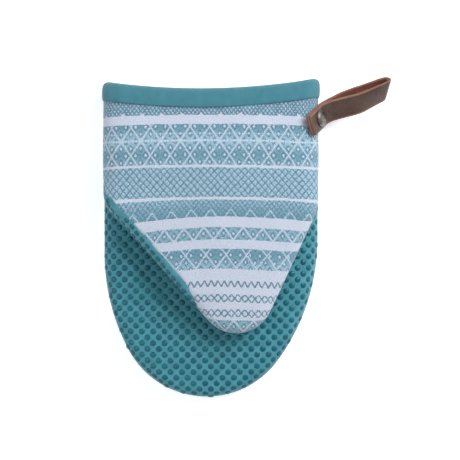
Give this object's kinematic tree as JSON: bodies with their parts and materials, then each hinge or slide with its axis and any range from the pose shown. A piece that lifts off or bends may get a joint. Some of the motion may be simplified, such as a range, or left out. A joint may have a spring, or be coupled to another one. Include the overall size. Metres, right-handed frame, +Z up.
{
  "type": "oven mitt",
  "caption": "Padded clamshell oven mitt with a silicone-dotted grip, a V-shaped thumb pocket that closes on a wide finger pocket, a bound cuff and a riveted leather hanging loop.",
  "frame": {"origin": "on the surface that the mitt lies on, under the middle of its length and width", "axes": "+X across the hand towards the hanging strap, +Y from the finger tips to the cuff, +Z up out of the back panel"},
  "size_m": [0.1882, 0.2094, 0.042],
  "materials": {
    "patterned_fabric": "jacquard-woven cotton in pale and mid blue-green with white stripes",
    "grip_fabric": "plain blue-green twill",
    "silicone": "glossy dark blue-green silicone domes",
    "binding_fabric": "plain blue-green cotton",
    "wadding": "needled polyester and cotton wadding",
    "lining": "plain undyed cotton",
    "leather": "oiled dark brown leather, rough on its flesh side",
    "rivet_metal": "antique dark brass, rubbed on its dome"
  },
  "bodies": {
    "mitt": {"back_panel": "patterned_fabric", "back_wadding": "wadding", "back_lining": "lining", "cuff_front_panel": "patterned_fabric", "cuff_front_wadding": "wadding", "cuff_front_lining": "lining", "finger_grip_panel": "grip_fabric", "finger_grip_wadding": "wadding", "finger_grip_lining": "lining", "finger_grip_dots": "silicone", "cuff_binding": "binding_fabric", "rivet_cap": "rivet_metal", "rivet_post": "rivet_metal", "rivet_washer": "rivet_metal"},
    "thumb": {"thumb_grip_panel": "grip_fabric", "thumb_grip_wadding": "wadding", "thumb_grip_lining": "lining", "thumb_front_panel": "patterned_fabric", "thumb_front_wadding": "wadding", "thumb_front_lining": "lining", "thumb_grip_dots": "silicone"},
    "loop": {"hanging_strap": "leather"}
  },
  "joints": [
    {"name": "thumb_fold", "type": "hinge", "parent": "mitt", "child": "thumb", "pos_m": [0, 0.028, 0.042], "axis": [-1, 0, 0], "range_deg": [0, 90]},
    {"name": "loop_swivel", "type": "hinge", "parent": "mitt", "child": "loop", "pos_m": [0.06839, 0.078, 0.0296], "axis": [0.8642, 0.0642, 0.499], "range_deg": [-60, 45]}
  ]
}
